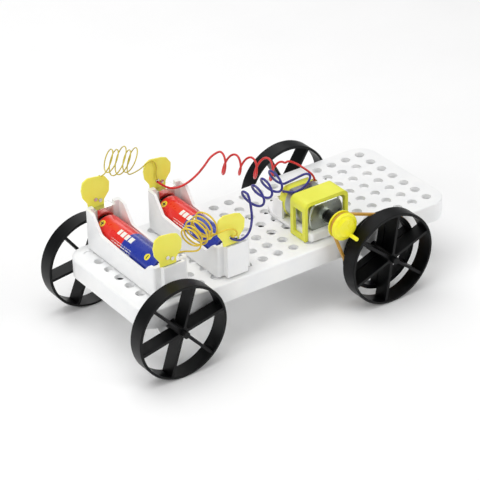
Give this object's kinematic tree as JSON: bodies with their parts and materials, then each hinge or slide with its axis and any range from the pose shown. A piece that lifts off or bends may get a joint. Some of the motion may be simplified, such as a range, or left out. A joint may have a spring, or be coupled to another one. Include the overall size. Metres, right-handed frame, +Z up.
{
  "type": "battery-powered model car",
  "caption": "Four-wheel model car on a perforated plastic deck, with AA cell holders and a small electric motor that drives one axle through a rubber band.",
  "frame": {"origin": "middle of the deck's hole grid, on the deck's top face", "axes": "+Z up, +X along the deck towards the motor end, +Y away from the pulley side"},
  "size_m": [0.1885, 0.0989, 0.0842],
  "materials": {
    "white_abs": "satin",
    "black_abs": "satin",
    "yellow_abs": "satin",
    "foam_tape": "matte",
    "steel": "drawn",
    "nickel_plate": "polished",
    "zinc_steel": "satin",
    "brass": "polished",
    "copper": "satin",
    "ferrite": "matte",
    "printed_film": "gloss",
    "rubber": "matte",
    "red_pvc": "gloss",
    "blue_pvc": "gloss",
    "yellow_pvc": "gloss"
  },
  "bodies": {
    "chassis": {"blue_lead": "blue_pvc", "blue_lead_coil": "blue_pvc", "chassis_plate": "white_abs", "drive_band": "rubber", "flag_rivets": "brass", "front_bearing": "brass", "front_cell_can": "nickel_plate", "front_cell_holder": "white_abs", "front_cell_positive_cap": "nickel_plate", "front_cell_sleeve": "printed_film", "front_far_axle_bracket": "white_abs", "front_holder_pad": "foam_tape", "front_near_axle_bracket": "white_abs", "front_negative_clip": "nickel_plate", "front_negative_flag": "yellow_abs", "front_positive_clip": "nickel_plate", "front_positive_flag": "yellow_abs", "motor_base": "white_abs", "motor_base_pad": "foam_tape", "motor_brushes": "brass", "motor_can": "zinc_steel", "motor_clamp": "yellow_abs", "motor_end_cap": "yellow_abs", "motor_magnets": "ferrite", "motor_terminals": "brass", "rear_bearing": "brass", "rear_cell_can": "nickel_plate", "rear_cell_holder": "white_abs", "rear_cell_positive_cap": "nickel_plate", "rear_cell_sleeve": "printed_film", "rear_far_axle_bracket": "white_abs", "rear_holder_pad": "foam_tape", "rear_near_axle_bracket": "white_abs", "rear_negative_clip": "nickel_plate", "rear_negative_flag": "yellow_abs", "rear_positive_clip": "nickel_plate", "rear_positive_flag": "yellow_abs", "red_lead": "red_pvc", "red_lead_coil": "red_pvc", "thick_link": "yellow_pvc", "thick_link_coil": "yellow_pvc", "thin_link": "yellow_pvc", "thin_link_coil": "yellow_pvc"},
    "front_axle_set": {"front_axle": "steel", "front_near_wheel": "black_abs", "front_far_wheel": "black_abs"},
    "rear_axle_set": {"rear_axle": "steel", "rear_near_wheel": "black_abs", "rear_far_wheel": "black_abs", "belt_ring": "black_abs"},
    "motor_rotor": {"motor_shaft": "steel", "armature_core": "steel", "armature_windings": "copper", "commutator": "copper", "shaft_sleeve": "black_abs", "motor_pulley": "yellow_abs"}
  },
  "joints": [
    {"name": "front_axle_spin", "type": "hinge", "parent": "chassis", "child": "front_axle_set", "pos_m": [-0.0745, 0, -0.0112], "axis": [0, 1, 0], "continuous": true},
    {"name": "rear_axle_spin", "type": "hinge", "parent": "chassis", "child": "rear_axle_set", "pos_m": [0.0425, 0, -0.0112], "axis": [0, 1, 0], "continuous": true},
    {"name": "motor_spin", "type": "hinge", "parent": "chassis", "child": "motor_rotor", "pos_m": [0.0195, 0, 0.0112], "axis": [0, 1, 0], "continuous": true}
  ],
  "couplings": [
    {"joint": "motor_spin", "follows": "rear_axle_spin", "ratio": 3.5094}
  ]
}
